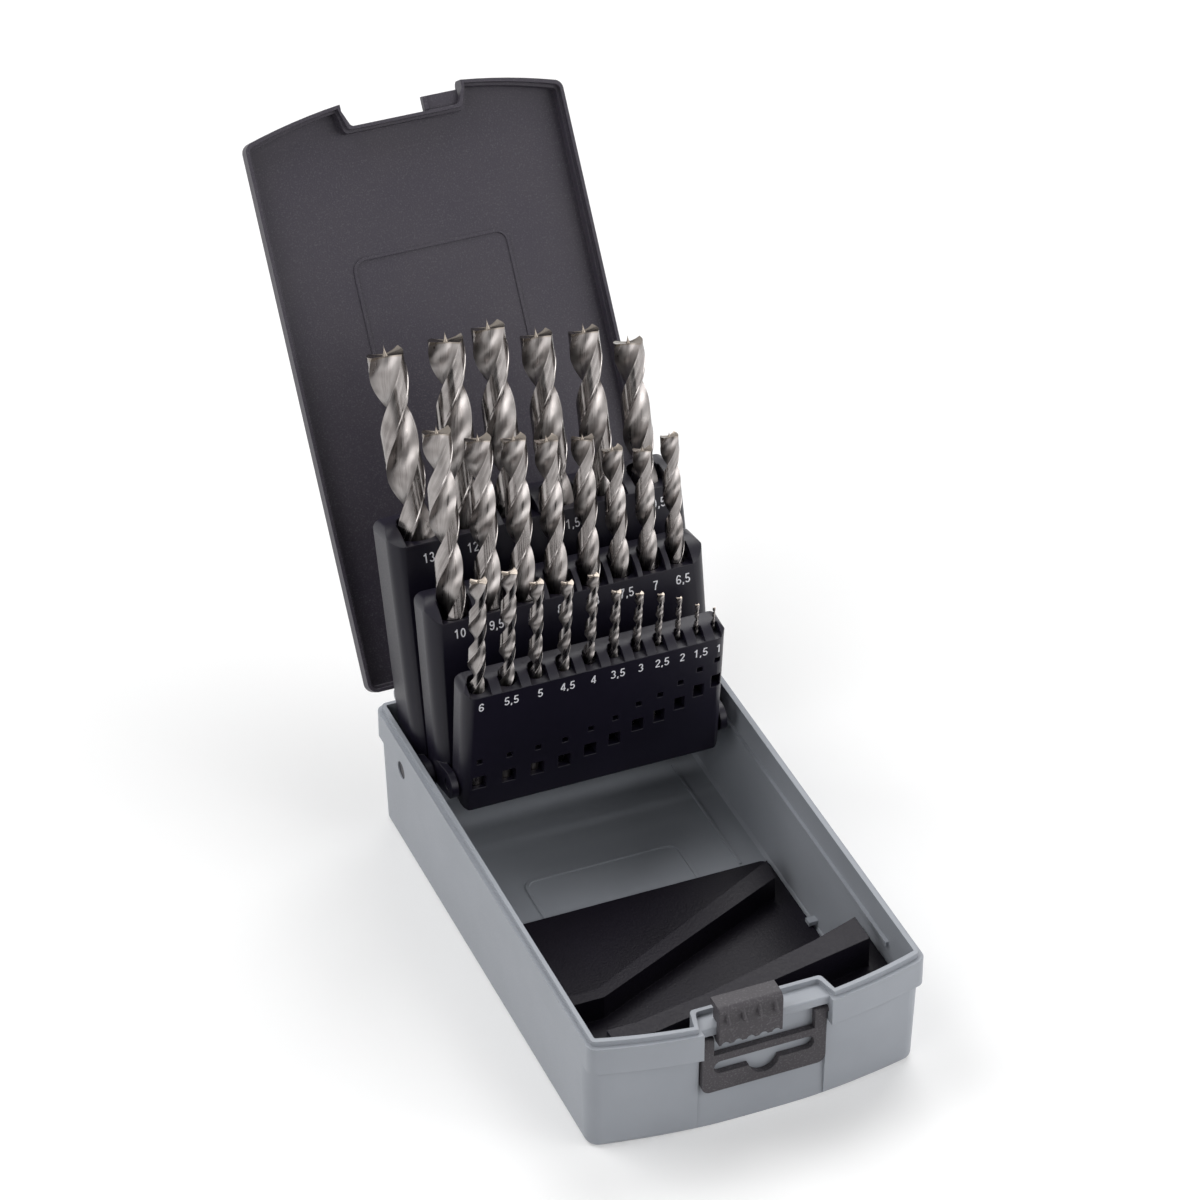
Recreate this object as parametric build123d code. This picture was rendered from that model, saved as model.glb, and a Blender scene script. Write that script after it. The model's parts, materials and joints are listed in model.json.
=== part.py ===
"""Drill bit case: a moulded cassette whose drill holders stand up as the lid opens.

Millimetres, +Z up, +Y from the latch side to the hinge side. The origin is the
middle of the flat underside. The case is drawn open, with the holders raised.
"""

import os
from dataclasses import dataclass
from math import cos
from math import radians
from math import sin
from math import tan

from build123d import *

# ---- driving dimensions -------------------------------------------------------

overlap = 0.2  # how far a rib or catch is sunk into the wall that carries it

# base tray
case_width = 118.0  # outside, across the rim
case_length = 194.0  # front corners to back wall, outside
base_height = 44.6  # underside to parting plane
front_bow = 8.7  # how far the middle of the front stands forward of its corners
rim_corner_radius = 3.5
collar_height = 10.5
collar_thickness = 4.4
body_front_setback = 2.1  # body behind the collar, at the front corners
body_back_setback = 2.4
body_bow = 6.6
body_corner_radius = 6.0
body_draft = 1.8  # degrees by which each wall leans in towards the foot
bottom_fillet = 2.2
body_wall = 3.0
floor_thickness = 2.0
collar_floor = 2.0  # thickness of the collar's overhanging underside
ledge_width = 1.2  # stiffening ledge along the inside of the walls
ledge_thickness = 1.6
floor_chamfer = 1.2
floor_panel_margin = 30.0  # raised outline on the floor, from the side walls
floor_panel_length = 72.0
floor_panel_start = 62.0
floor_panel_width = 1.2
floor_panel_height = 0.4
rail_inset = 14.1  # low rails along the floor, from the outside of the side walls
rail_width = 1.0
rail_gap = 3.0  # between the rails' front ends and the drill rest
rail_length = 60.0
panel_corner_radius = 5.0
tab_length = 3.2
tab_height = 2.4
tab_reach = 0.8  # how far a catch stands out of the inner wall
tab_drop = 1.0  # top of the catches under the parting plane
TAB_STATIONS = (162.0, 171.0)
catch_station = 74.0  # catches that hold the drill rest down
catch_length = 3.0
catch_height = 1.6
catch_reach = 1.6  # how far a catch stands over the rest's plate
catch_clearance = 0.3

# rim and the lid's lap over it
ridge_inset = 1.5
ridge_thickness = 1.5
ridge_height = 1.9
lap_clearance = 0.3

# latch recess in the front
recess_half_width = 22.4
recess_slant = 2.4  # how much narrower the recess is at its back
recess_back = 0.7  # behind the line of the front corners
recess_corner_radius = 1.6
cut_reach = 25.0  # how far open cuts run past the front
shelf_reach = 5.0  # how far the latch shelf stands forward of the corner line
shelf_thickness = 3.3
channel_wall_back = -2.0  # channel wall, from the line of the front corners

# lid
lid_depth = 8.4
lid_wall = 2.2
lid_top_thickness = 2.0
lid_edge_radius = 3.0
lid_panel_margin = 29.8  # raised outline inside the lid, from the side walls
lid_panel_start = 45.8
lid_panel_length = 106.0
tongue_start = 7.8
tongue_reach = 5.4
tongue_thickness = 2.0
tongue_rise = 2.4  # underside above the parting plane, lid shut
tongue_lip = 1.0

# lid hinge
hinge_offset = 2.8  # axis behind the back wall
hinge_pin_diameter = 2.5
knuckle_diameter = 4.8
knuckle_length = 7.0
knuckle_gap = 0.4
knuckle_web_height = 6.0
hinge_inset = 18.0  # centre of each hinge from the side of the case
knuckle_share = 0.75  # length of a base knuckle against the lid's
hinge_pin_fit = 0.05
lid_open_angle = 125.0

# latch slider
slider_width = 22.2
slider_left = -17.4
slider_wall = 2.3
slider_top = 8.8  # above the parting plane
slider_top_depth = 5.2
slider_skirt = 2.6  # front leg below the shelf's underside
slider_clearance = 0.3
slider_hook = 2.2  # how far the front leg reaches back under the shelf
slider_hook_height = 1.2
slider_brow_radius = 2.4
slider_guide = 9.0  # width of the guide block under the top
slider_guide_inset = 1.0
slider_rib_count = 4
slider_rib_width = 1.5
slider_rib_length = 4.4
slider_rib_lean = 30.0
ripple_radius = 1.5
ripple_drop = 0.5
latch_travel = 11.0

# hanger bail
hanger_half_width = 21.8
hanger_thickness = 2.3
hanger_arm_width = 4.1
hanger_pivot_drop = 2.8  # axis below the shelf's underside
hanger_bottom = 16.9
hanger_bar_top = 32.2
hanger_bar_height = 2.9
hanger_slot_bottom = 24.2
hanger_eye_radius = 5.4
hanger_eye_rise = 0.9  # centre of the round eye above the slot's lower edge
hanger_corner_radius = 3.0
hanger_stud_diameter = 2.6
hanger_stud_reach = 1.6
hanger_fit = 0.05
hanger_stand_off = 0.3

# drill rest
rest_plate_thickness = 1.3
rest_plate_margin = 3.0
rest_rear = 111.3  # rear edge, from the line of the front corners
rest_rib_top = 13.0  # above the underside
rest_deck_height = 28.3
rest_step_height = 40.0
rest_end_gap = 0.4
deck_left = 17.0  # rear edge of the deck, from the line of the front corners
deck_right = 41.0
deck_bend = -38.0
REST_RIB = ((-56, 56), (-30.5, 56), (47.3, 91), (48.4, 100.5), (-31, 60.8), (-56, 60.8))
REST_STEP = ((-48, 4.8), (-32.6, 5.4), (-8.9, 10), (49, 21), (49, 32.6), (31.5, 26.9),
             (-10, 16.6), (-37.7, 12), (-48, 12))

# drill holders
pivot_from_back = 25.0  # holders' wall pivot, from the outside of the back wall
pivot_height = 34.8
rear_lean = 16.0
middle_lean = 10.0
front_lean = -5.0
cheek_thickness = 2.5
cheek_gap = 0.5
cheek_to_wall = 0.9
stud_diameter = 4.6
wall_stud_diameter = 6.4
stud_fit = 0.05
pocket_clearance = 0.2
holder_front_radius = 5.5
holder_back_radius = 0.8
holder_taper = 0.5  # how much thinner a holder is at its foot
holder_crown_radius = 3.5  # top corners, seen from the front
holder_crest_share = 0.25  # share of the depth that stays flat at the back of the top
slot_margin = 1.6
cheek_radius = 5.0
stud_reach = 2.7
wall_stud_reach = 4.6
window_rise = 5.0  # window centre above the pocket's floor
window_pitch = 9.5
window_width = 3.3
window_growth = 0.3  # wider windows for thicker drills
window_height = 5.4
small_window = 2.2
rear_axis_u = -4.5  # pocket line forward of the wall pivot, holders folded flat
rear_front_u = 5.3
rear_back_u = -13.2
rear_top = 86.7
rear_bottom = -3.0
rear_shoulder = 5.3
rear_depth = 87.2
rear_end_wall = 6.4  # from the side of a holder to its first drill
middle_axis_u = 14.0
middle_front_u = 20.0
middle_back_u = 6.2
middle_top = 68.0
middle_bottom = -4.5
middle_shoulder = 7.1
middle_depth = 70.3
middle_end_wall = 6.0
middle_pivot_u = 9.4
middle_pivot_w = 0.5
front_axis_u = 26.4
front_front_u = 31.6
front_back_u = 21.0
front_top = 49.5
front_bottom = -5.0
front_shoulder = 3.6
front_heel = 5.0
front_depth_limit = 47.5
front_depth_least = 13.5  # pocket depth of a drill of no length, and its growth
front_depth_share = 0.42
front_end_wall = 3.0
front_pivot_u = 24.5
front_pivot_w = 3.2

# drills
flute_lead = 5.44  # helix lead in diameters
flute_step = 48.0  # turn between two drawn sections
FLUTE_CORNERS = ((-36, 1.0), (36, 1.0), (88, 0.36))
brad_height = 0.33  # spike height, in diameters
brad_root = 0.3  # share of the radius where the spike starts
spur_drop = 0.2  # how far the spurs stay under the spike's tip, in diameters

# ---- derived places -----------------------------------------------------------

FRONT = -case_length / 2
BACK = case_length / 2
HALF = case_width / 2
COLLAR_FOOT = base_height - collar_height
HINGE_Y = BACK + hinge_offset
SHELF_FRONT = FRONT - shelf_reach
SHELF_UNDER = base_height - shelf_thickness
CHANNEL_WALL = FRONT + channel_wall_back
LEDGE_TOP = COLLAR_FOOT + collar_floor
HINGE_X = HALF - hinge_inset
WALL_LEAN = LEDGE_TOP * tan(radians(body_draft))  # of a wall over the tray's height
REST_HALF = HALF - body_wall - WALL_LEAN - floor_chamfer - rest_end_gap
REST_FOOT = floor_thickness + floor_panel_height
REST_TOP = REST_FOOT + rest_plate_thickness
INNER_HALF = HALF - body_wall - ledge_width  # clear half width between the ledges
PIVOT_Y = BACK - pivot_from_back
HANGER_Y = CHANNEL_WALL - hanger_stand_off - hanger_thickness / 2
HANGER_Z = SHELF_UNDER - hanger_pivot_drop
PIVOT = Vector(0, PIVOT_Y, pivot_height)
REAR_HALF = INNER_HALF - cheek_to_wall
MIDDLE_HALF = REAR_HALF - cheek_thickness - cheek_gap
FRONT_HALF = MIDDLE_HALF - cheek_thickness - cheek_gap


@dataclass(frozen=True)
class Drill:
    """One brad-point drill: its diameter, length, fluted length and pocket."""

    diameter: float
    length: float
    flute: float
    x: float
    depth: float



# DIN 338 jobber lengths: up to each diameter, the overall and the fluted length
JOBBER_STEPS = (
    (1.0, 34.0, 12.0),
    (1.5, 40.0, 18.0),
    (2.0, 49.0, 24.0),
    (2.5, 57.0, 30.0),
    (3.0, 61.0, 33.0),
    (3.5, 70.0, 39.0),
    (4.0, 75.0, 43.0),
    (4.5, 80.0, 47.0),
    (5.0, 86.0, 52.0),
    (6.0, 93.0, 57.0),
    (6.5, 101.0, 63.0),
    (7.5, 109.0, 69.0),
    (8.5, 117.0, 75.0),
    (9.5, 125.0, 81.0),
    (10.5, 133.0, 87.0),
    (11.5, 142.0, 94.0),
    (13.0, 151.0, 101.0),
)


def jobber_lengths(diameter):
    """Overall and fluted length of a jobber drill of this diameter."""
    for largest, length, flute in JOBBER_STEPS:
        if diameter <= largest:
            return length, flute
    raise ValueError(f"no jobber length for {diameter}")


def drill_row(sizes, half_width, end_wall, depth_of):
    """Drills side by side between a holder's end walls, with equal gaps."""
    row = []
    edge = end_wall - half_width
    gap = (-2 * edge - sum(sizes)) / (len(sizes) - 1)
    for diameter in sizes:
        length, flute = jobber_lengths(diameter)
        x = edge + diameter / 2
        row.append(Drill(diameter, length, flute, x, depth_of(length)))
        edge = x + diameter / 2 + gap
    return row


def half_millimetre_sizes(largest, smallest):
    """Drill diameters from the largest to the smallest in half-millimetre steps."""
    count = round((largest - smallest) / 0.5) + 1
    return [largest - 0.5 * n for n in range(count)]


def front_pocket_depth(length):
    """Small drills stand in shallower pockets, so that their tips still show."""
    return min(front_depth_limit, front_depth_least + front_depth_share * length)


@dataclass(frozen=True)
class Holder:
    """One drill holder, drawn folded flat: u forward of, w along from the wall pivot.

    The shoulder is how far the front of the top lies under its back, and the heel
    is how much of the back is cut away at the foot.
    """

    half_width: float
    back_u: float
    front_u: float
    bottom: float
    top: float
    shoulder: float
    heel: float
    axis_u: float
    pivot_u: float
    pivot_w: float
    lean: float
    drills: list


REAR = Holder(
    REAR_HALF, rear_back_u, rear_front_u, rear_bottom, rear_top, rear_shoulder, 0.0,
    rear_axis_u, 0.0, 0.0, rear_lean,
    drill_row(
        half_millimetre_sizes(13.0, 10.5), REAR_HALF, rear_end_wall,
        lambda length: rear_depth,
    ),
)
MIDDLE = Holder(
    MIDDLE_HALF, middle_back_u, middle_front_u, middle_bottom, middle_top,
    middle_shoulder, 0.0, middle_axis_u, middle_pivot_u, middle_pivot_w, middle_lean,
    drill_row(
        half_millimetre_sizes(10.0, 6.5), MIDDLE_HALF, middle_end_wall,
        lambda length: middle_depth,
    ),
)
FRONT_TIER = Holder(
    FRONT_HALF, front_back_u, front_front_u, front_bottom, front_top,
    front_shoulder, front_heel, front_axis_u, front_pivot_u, front_pivot_w, front_lean,
    drill_row(
        half_millimetre_sizes(6.0, 1.0), FRONT_HALF, front_end_wall, front_pocket_depth
    ),
)

# ---- outlines -----------------------------------------------------------------


def bowed_outline(half_width, front, back, bow, radius):
    """Plan outline: straight sides and back, a front bowed forward, round corners."""
    with BuildSketch() as sketch:
        with BuildLine():
            Polyline((half_width, front), (half_width, back), (-half_width, back),
                     (-half_width, front))
            ThreePointArc((-half_width, front), (0, front - bow), (half_width, front))
        make_face()
        fillet(sketch.vertices(), radius)
    return sketch.sketch


def recess_cutter(back, half_width, inset=0.0):
    """Plan outline of the latch recess, open to the front; inset widens it."""
    back = back + inset
    with BuildSketch() as sketch:
        with BuildLine():
            Polyline(
                (-half_width - inset, FRONT - shelf_reach - cut_reach),
                (-half_width - inset, FRONT - shelf_reach - inset),
                (-half_width + recess_slant - inset, back),
                (half_width - recess_slant + inset, back),
                (half_width + inset, FRONT - shelf_reach - inset),
                (half_width + inset, FRONT - shelf_reach - cut_reach),
                close=True,
            )
        make_face()
        inner = sketch.vertices().sort_by(Axis.Y)[-2:]
        fillet(inner, recess_corner_radius)
    return sketch.sketch


def rim_outline(inset=0.0):
    """The rim line shared by lid and base, moved inwards by inset."""
    outline = bowed_outline(
        HALF - inset, FRONT + inset, BACK - inset, front_bow,
        max(rim_corner_radius - inset, 0.6),
    )
    return outline - recess_cutter(FRONT + recess_back, recess_half_width, inset)


def body_outline(inset=0.0):
    """The tray body where it meets the collar, moved inwards by inset."""
    return bowed_outline(
        HALF - inset,
        FRONT + body_front_setback + inset,
        BACK - body_back_setback - inset,
        body_bow,
        max(body_corner_radius - inset, 2.0),
    )


def drafted_body(inset, low, high):
    """Solid whose walls lean in towards the foot, moved inwards by inset."""
    top = Plane.XY.offset(high)
    block = extrude(top * body_outline(inset), low - high)
    walls = [face for face in block.faces() if abs(face.normal_at().Z) < 0.5]
    return draft(walls, top, -body_draft)


def channel_block(inset=0.0):
    """The space of the front channel under the latch shelf."""
    return Pos(0, CHANNEL_WALL + inset - cut_reach / 2, (SHELF_UNDER - overlap) / 2) * Box(
        2 * (recess_half_width + inset), cut_reach, SHELF_UNDER + overlap
    )


# ---- base tray ----------------------------------------------------------------


def base_body():
    """Tray body with drafted walls and a rolled lower edge."""
    body = drafted_body(0.0, 0.0, COLLAR_FOOT + 1)
    return fillet(body.edges().group_by(Axis.Z)[0], bottom_fillet)


def base_cavity():
    """Room inside: the lower tray, then the wider part inside the collar."""
    lower = drafted_body(body_wall, floor_thickness, LEDGE_TOP)
    lower = chamfer(lower.edges().group_by(Axis.Z)[0], floor_chamfer)
    lower -= channel_block(body_wall)
    upper = Plane.XY.offset(LEDGE_TOP) * rim_outline(ridge_inset + ridge_thickness)
    return lower + extrude(upper, collar_height + ridge_height)


def recess_wall():
    """Wall behind the hanger, between the channel and the latch shelf."""
    depth = recess_back - channel_wall_back + 1.0
    height = SHELF_UNDER - COLLAR_FOOT + 1.0
    return Pos(0, CHANNEL_WALL + depth / 2, COLLAR_FOOT + height / 2) * Box(
        2 * recess_half_width, depth, height
    )


def wall_ledges():
    """Stiffening ledges along the inside of the two side walls."""
    length = case_length - 2 * body_corner_radius - 30
    ledges = []
    for side in (-1, 1):
        x = side * (HALF - body_wall - ledge_width / 2 + 0.3)
        ledge = Pos(x, 0, LEDGE_TOP - ledge_thickness / 2) * Box(
            ledge_width + 0.6, length, ledge_thickness
        )
        ledges.append(ledge)
    return ledges


def latch_shelf():
    """Flange in the front recess that the latch slides on."""
    front_strip = Pos(0, SHELF_FRONT + 10) * Rectangle(case_width, 20)
    outline = recess_cutter(FRONT + recess_back + 1, recess_half_width) & front_strip
    shelf = extrude(Plane.XY.offset(SHELF_UNDER) * outline, shelf_thickness)
    lip = shelf.edges().filter_by(Axis.X).group_by(Axis.Y)[0]
    return fillet(lip, 0.6)


def raised_outline(width, length, start, low):
    """Low rib round a rectangle, from start behind the front corners."""
    outer = RectangleRounded(width, length, panel_corner_radius)
    inner = RectangleRounded(
        width - 2 * floor_panel_width, length - 2 * floor_panel_width,
        panel_corner_radius - floor_panel_width,
    )
    rib = extrude(outer - inner, floor_panel_height + overlap)
    return Pos(0, FRONT + start + length / 2, low) * rib


def floor_panel():
    """Raised outline moulded on the tray floor."""
    return raised_outline(
        case_width - 2 * floor_panel_margin, floor_panel_length, floor_panel_start,
        floor_thickness - overlap,
    )


def floor_rails():
    """Two low rails along the floor between the holders and the drill rest."""
    start = FRONT + rest_rear + rail_gap
    low = floor_thickness - overlap
    height = floor_panel_height + overlap
    return [
        Pos(side * (HALF - rail_inset), start + rail_length / 2, low + height / 2)
        * Box(rail_width, rail_length, height)
        for side in (-1, 1)
    ]


def rest_catches():
    """Two catches on the side walls that hold the drill rest's plate down."""
    low = REST_TOP + catch_clearance
    inner = REST_HALF - catch_reach
    reach = HALF - body_wall + overlap - inner
    return [
        Pos(side * (inner + reach / 2), FRONT + catch_station, low + catch_height / 2)
        * Box(reach, catch_length, catch_height)
        for side in (-1, 1)
    ]


def wall_tabs():
    """Two small catches near the rim on the inside of each side wall."""
    reach = HALF - ridge_inset - ridge_thickness - tab_reach
    height = base_height - tab_drop - tab_height / 2
    return [
        Pos(side * (reach + tab_reach / 2 + overlap), FRONT + station, height)
        * Box(tab_reach + 2 * overlap, tab_length, tab_height)
        for side in (-1, 1)
        for station in TAB_STATIONS
    ]


def x_cylinder(radius, start, end, y, z):
    """Cylinder along X from start to end."""
    middle = (start + end) / 2
    return Pos(middle, y, z) * Rot(0, 90, 0) * Cylinder(radius, abs(end - start))


def wall_bosses():
    """Thickened rings round the pivot holes in the side walls."""
    return [
        x_cylinder(
            wall_stud_diameter / 2 + 2.2, side * INNER_HALF, side * (HALF - 1.5),
            PIVOT_Y, pivot_height,
        )
        for side in (-1, 1)
    ]


def pivot_holes():
    """Holes through the side walls for the rear holder's studs."""
    radius = wall_stud_diameter / 2 + stud_fit
    return [
        x_cylinder(radius, side * (INNER_HALF - 2), side * (HALF + 2), PIVOT_Y, pivot_height)
        for side in (-1, 1)
    ]


def hanger_sockets():
    """Blind holes in the recess side walls for the hanger's studs."""
    radius = hanger_stud_diameter / 2 + hanger_fit
    reach = hanger_stud_reach + 0.3
    return [
        x_cylinder(radius, side * (hanger_half_width - 0.5),
                   side * (hanger_half_width + reach), HANGER_Y, HANGER_Z)
        for side in (-1, 1)
    ]


def knuckle_spans():
    """Start and end along X of each base knuckle and of each lid knuckle."""
    base_spans = []
    lid_spans = []
    for side in (-1, 1):
        centre = side * HINGE_X
        half = knuckle_length / 2
        lid_spans.append((centre - half, centre + half))
        for end in (-1, 1):
            near = centre + end * (half + knuckle_gap)
            far = near + end * knuckle_length * knuckle_share
            base_spans.append((min(near, far), max(near, far)))
    return base_spans, lid_spans


def knuckle(span, below):
    """One hinge knuckle: a barrel on the axis and a web back to its wall."""
    radius = knuckle_diameter / 2
    tangent = radius * 0.7
    way = -1 if below else 1
    barrel = x_cylinder(radius, span[0], span[1], HINGE_Y, base_height)
    with BuildSketch(Plane.YZ) as profile:
        with BuildLine():
            Polyline(
                (BACK - 1.0, base_height + way * lap_clearance),
                (HINGE_Y, base_height + way * lap_clearance),
                (HINGE_Y + tangent, base_height + way * tangent),
                (BACK - 1.0, base_height + way * knuckle_web_height),
                close=True,
            )
        make_face()
    web = Pos(span[0], 0, 0) * extrude(profile.sketch, span[1] - span[0])
    return barrel + web


def hinge_bore():
    """The bore through all the knuckles."""
    radius = hinge_pin_diameter / 2 + hinge_pin_fit
    return x_cylinder(radius, -HALF, HALF, HINGE_Y, base_height)


def hinge_pins():
    """Two steel pins, one through each group of knuckles."""
    reach = knuckle_length / 2 + knuckle_gap + knuckle_length * knuckle_share - 0.4
    return [
        x_cylinder(hinge_pin_diameter / 2, side * HINGE_X - reach,
                   side * HINGE_X + reach, HINGE_Y, base_height)
        for side in (-1, 1)
    ]


def base_tray():
    """The grey moulded tray."""
    tray = base_body()
    tray += extrude(Plane.XY.offset(COLLAR_FOOT) * rim_outline(), collar_height)
    tray += extrude(Plane.XY.offset(base_height) * rim_outline(ridge_inset), ridge_height)
    tray -= channel_block()
    tray += recess_wall()
    tray += latch_shelf()
    tray -= base_cavity()
    tray += wall_ledges()
    tray += wall_bosses()
    tray += floor_panel()
    tray += floor_rails()
    tray += rest_catches()
    tray += wall_tabs()
    base_spans, _ = knuckle_spans()
    tray += [knuckle(span, below=True) for span in base_spans]
    tray -= hinge_bore()
    tray -= pivot_holes()
    tray -= hanger_sockets()
    return tray


# ---- lid ----------------------------------------------------------------------


def lid_closed():
    """The lid as it lies shut on the tray."""
    low = base_height + lap_clearance
    outline = bowed_outline(HALF, FRONT, BACK, front_bow, rim_corner_radius)
    shell = extrude(Plane.XY.offset(low) * outline, lid_depth - lap_clearance)
    shell = fillet(shell.edges().group_by(Axis.Z)[-1], lid_edge_radius)
    recess = recess_cutter(FRONT + recess_back, recess_half_width)
    shell -= extrude(Plane.XY.offset(base_height) * recess, lid_depth)
    room = Plane.XY.offset(base_height) * rim_outline(lid_wall)
    shell -= extrude(room, lid_depth - lid_top_thickness)
    lap = Plane.XY.offset(base_height) * rim_outline(ridge_inset - lap_clearance)
    shell -= extrude(lap, ridge_height + lap_clearance)
    shell += lid_panel()
    shell += latch_tongue()
    _, lid_spans = knuckle_spans()
    shell += [knuckle(span, below=False) for span in lid_spans]
    return shell - hinge_bore()


def lid_panel():
    """Raised outline moulded on the inside of the lid."""
    ceiling = base_height + lid_depth - lid_top_thickness
    return raised_outline(
        case_width - 2 * lid_panel_margin, lid_panel_length, lid_panel_start,
        ceiling - floor_panel_height,
    )


def latch_tongue():
    """Tongue at the right of the lid's recess that the latch slides over."""
    end = recess_half_width - recess_slant + 1.0
    depth = tongue_reach + lid_wall
    low = base_height + tongue_rise
    y = FRONT + recess_back - tongue_reach + depth / 2 + 0.2
    tongue = Pos((tongue_start + end) / 2, y, low + tongue_thickness / 2) * Box(
        end - tongue_start, depth, tongue_thickness
    )
    lip = Pos(
        tongue_start + 0.75, FRONT + recess_back - tongue_reach / 2,
        low - tongue_lip / 2 + 0.1,
    ) * Box(1.5, tongue_reach - 0.6, tongue_lip + 0.2)
    return tongue + lip


def lid_shell():
    """The charcoal lid, swung open about its hinge."""
    hinge = Axis((0, HINGE_Y, base_height), (1, 0, 0))
    return lid_closed().rotate(hinge, -lid_open_angle)


# ---- latch slider -------------------------------------------------------------


def latch_slider():
    """Saddle that wraps the shelf and slides along it over the lid's tongue."""
    face = SHELF_FRONT - slider_clearance
    outer = face - slider_wall
    top = base_height + slider_top
    back = outer + slider_top_depth + slider_wall
    low = SHELF_UNDER - slider_skirt
    hook = SHELF_UNDER - slider_clearance
    with BuildSketch(Plane.YZ) as profile:
        with BuildLine():
            Polyline(
                (outer, low),
                (outer, top),
                (back, top),
                (back, top - slider_wall),
                (face, top - slider_wall),
                (face, hook),
                (face + slider_hook, hook),
                (face + slider_hook, hook - slider_hook_height),
                (face + slider_hook / 4, low),
                close=True,
            )
        make_face()
        brow = profile.vertices().group_by(Axis.Y)[-1].sort_by(Axis.X)[0]
        fillet(brow, slider_brow_radius)
    saddle = Pos(slider_left, 0, 0) * extrude(profile.sketch, slider_width)
    saddle += slider_web(face, back, top)
    saddle += slider_ribs(outer, top)
    return saddle - slider_ripples(outer, low)


def slider_web(face, back, top):
    """Guide block under the saddle's left part that rides on the shelf."""
    low = base_height + slider_clearance
    height = top - slider_wall + overlap - low
    depth = back - face
    x = slider_left + slider_guide_inset + slider_guide / 2
    return Pos(x, face + depth / 2 - overlap, low + height / 2) * Box(
        slider_guide, depth, height
    )


def slider_ribs(outer, top):
    """Short round-ended grip ribs over the slider's upper front edge."""
    pitch = slider_width / slider_rib_count
    radius = slider_rib_width / 2
    middle = top - slider_brow_radius
    ribs = []
    for n in range(slider_rib_count):
        x = slider_left + pitch * (n + 0.5)
        place = Pos(x, outer + radius / 2, middle - slider_rib_length / 4)
        bar = place * Cylinder(radius, slider_rib_length)
        ribs.append(bar.rotate(Axis((0, outer, middle), (1, 0, 0)), -slider_rib_lean))
    return ribs


def slider_ripples(outer, low):
    """Scalloped lower edge of the front leg."""
    pitch = slider_width / (slider_rib_count + 1)
    return [
        Pos(slider_left + pitch * (n + 0.5), outer + slider_wall / 2, low - ripple_drop)
        * Rot(90, 0, 0)
        * Cylinder(ripple_radius, 2 * slider_wall)
        for n in range(slider_rib_count + 1)
    ]


# ---- hanger bail --------------------------------------------------------------


def hanger_bail():
    """Pivoting hanger with a Euro slot, hanging in the front channel."""
    height = HANGER_Z - hanger_bottom
    half = hanger_half_width
    arm_inner = half - hanger_arm_width
    back = HANGER_Y + hanger_thickness / 2
    with BuildSketch(Plane.XZ.offset(-back)) as face:
        with Locations((0, HANGER_Z - height / 2)):
            Rectangle(2 * half, height)
        fillet(face.vertices().group_by(Axis.Y)[0], hanger_corner_radius)
        upper = HANGER_Z + 3 - hanger_bar_top
        with Locations((0, hanger_bar_top + upper / 2)):
            Rectangle(2 * arm_inner, upper, mode=Mode.SUBTRACT)
        slot = hanger_bar_top - hanger_bar_height - hanger_slot_bottom
        with Locations((0, hanger_slot_bottom + slot / 2)):
            SlotOverall(2 * arm_inner, slot, mode=Mode.SUBTRACT)
        with Locations((0, hanger_slot_bottom + hanger_eye_rise)):
            Circle(hanger_eye_radius, mode=Mode.SUBTRACT)
        with Locations((0, hanger_bar_top - hanger_bar_height / 2)):
            Rectangle(2 * arm_inner + 1, hanger_bar_height)
    bail = extrude(face.sketch, hanger_thickness)
    for side in (-1, 1):
        bail += x_cylinder(hanger_thickness / 2, side * arm_inner, side * half, HANGER_Y, HANGER_Z)
        bail += x_cylinder(
            hanger_stud_diameter / 2, side * (half - 1), side * (half + hanger_stud_reach),
            HANGER_Y, HANGER_Z,
        )
    return bail


# ---- drill rest ---------------------------------------------------------------


def rest_block(points, low, high):
    """Upright prism between two heights on corner points given from the front line."""
    with BuildSketch(Plane.XY.offset(low)) as outline:
        with BuildLine():
            Polyline(*[(x, FRONT + y) for x, y in points], close=True)
        make_face()
    return extrude(outline.sketch, high - low)


def drill_rest():
    """Black insert: a floor plate, a raised front deck and two ribs for the tips."""
    inside = drafted_body(body_wall + rest_end_gap, floor_thickness, LEDGE_TOP)
    inside -= channel_block(body_wall + rest_end_gap)
    plate_front = -body_bow + body_front_setback + body_wall + rest_plate_margin
    plate = Pos(0, FRONT + (rest_rear + plate_front) / 2, (REST_FOOT + REST_TOP) / 2)
    plate *= Box(2 * REST_HALF, rest_rear - plate_front, rest_plate_thickness)
    plate = fillet(plate.edges().filter_by(Axis.Z), body_corner_radius - body_wall)
    low = REST_FOOT + overlap
    rib = rest_block(REST_RIB, low, rest_rib_top)
    deck = rest_block(
        [(-HALF, -front_bow), (HALF, -front_bow), (HALF, deck_right),
         (deck_bend, deck_left), (-HALF, deck_left)],
        low, rest_deck_height,
    )
    step = rest_block(REST_STEP, rest_deck_height - overlap, rest_step_height)
    rest = (deck & inside) + plate + rib + step
    trim = drafted_body(body_wall + rest_end_gap, 0, base_height)
    trim -= channel_block(body_wall + rest_end_gap)
    return rest & trim


# ---- drill holders ------------------------------------------------------------


def folded_point(u, w):
    """A point of the folded frame, with the holder drawn upright on the wall pivot."""
    return Vector(0, PIVOT_Y - u, pivot_height + w)


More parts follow.
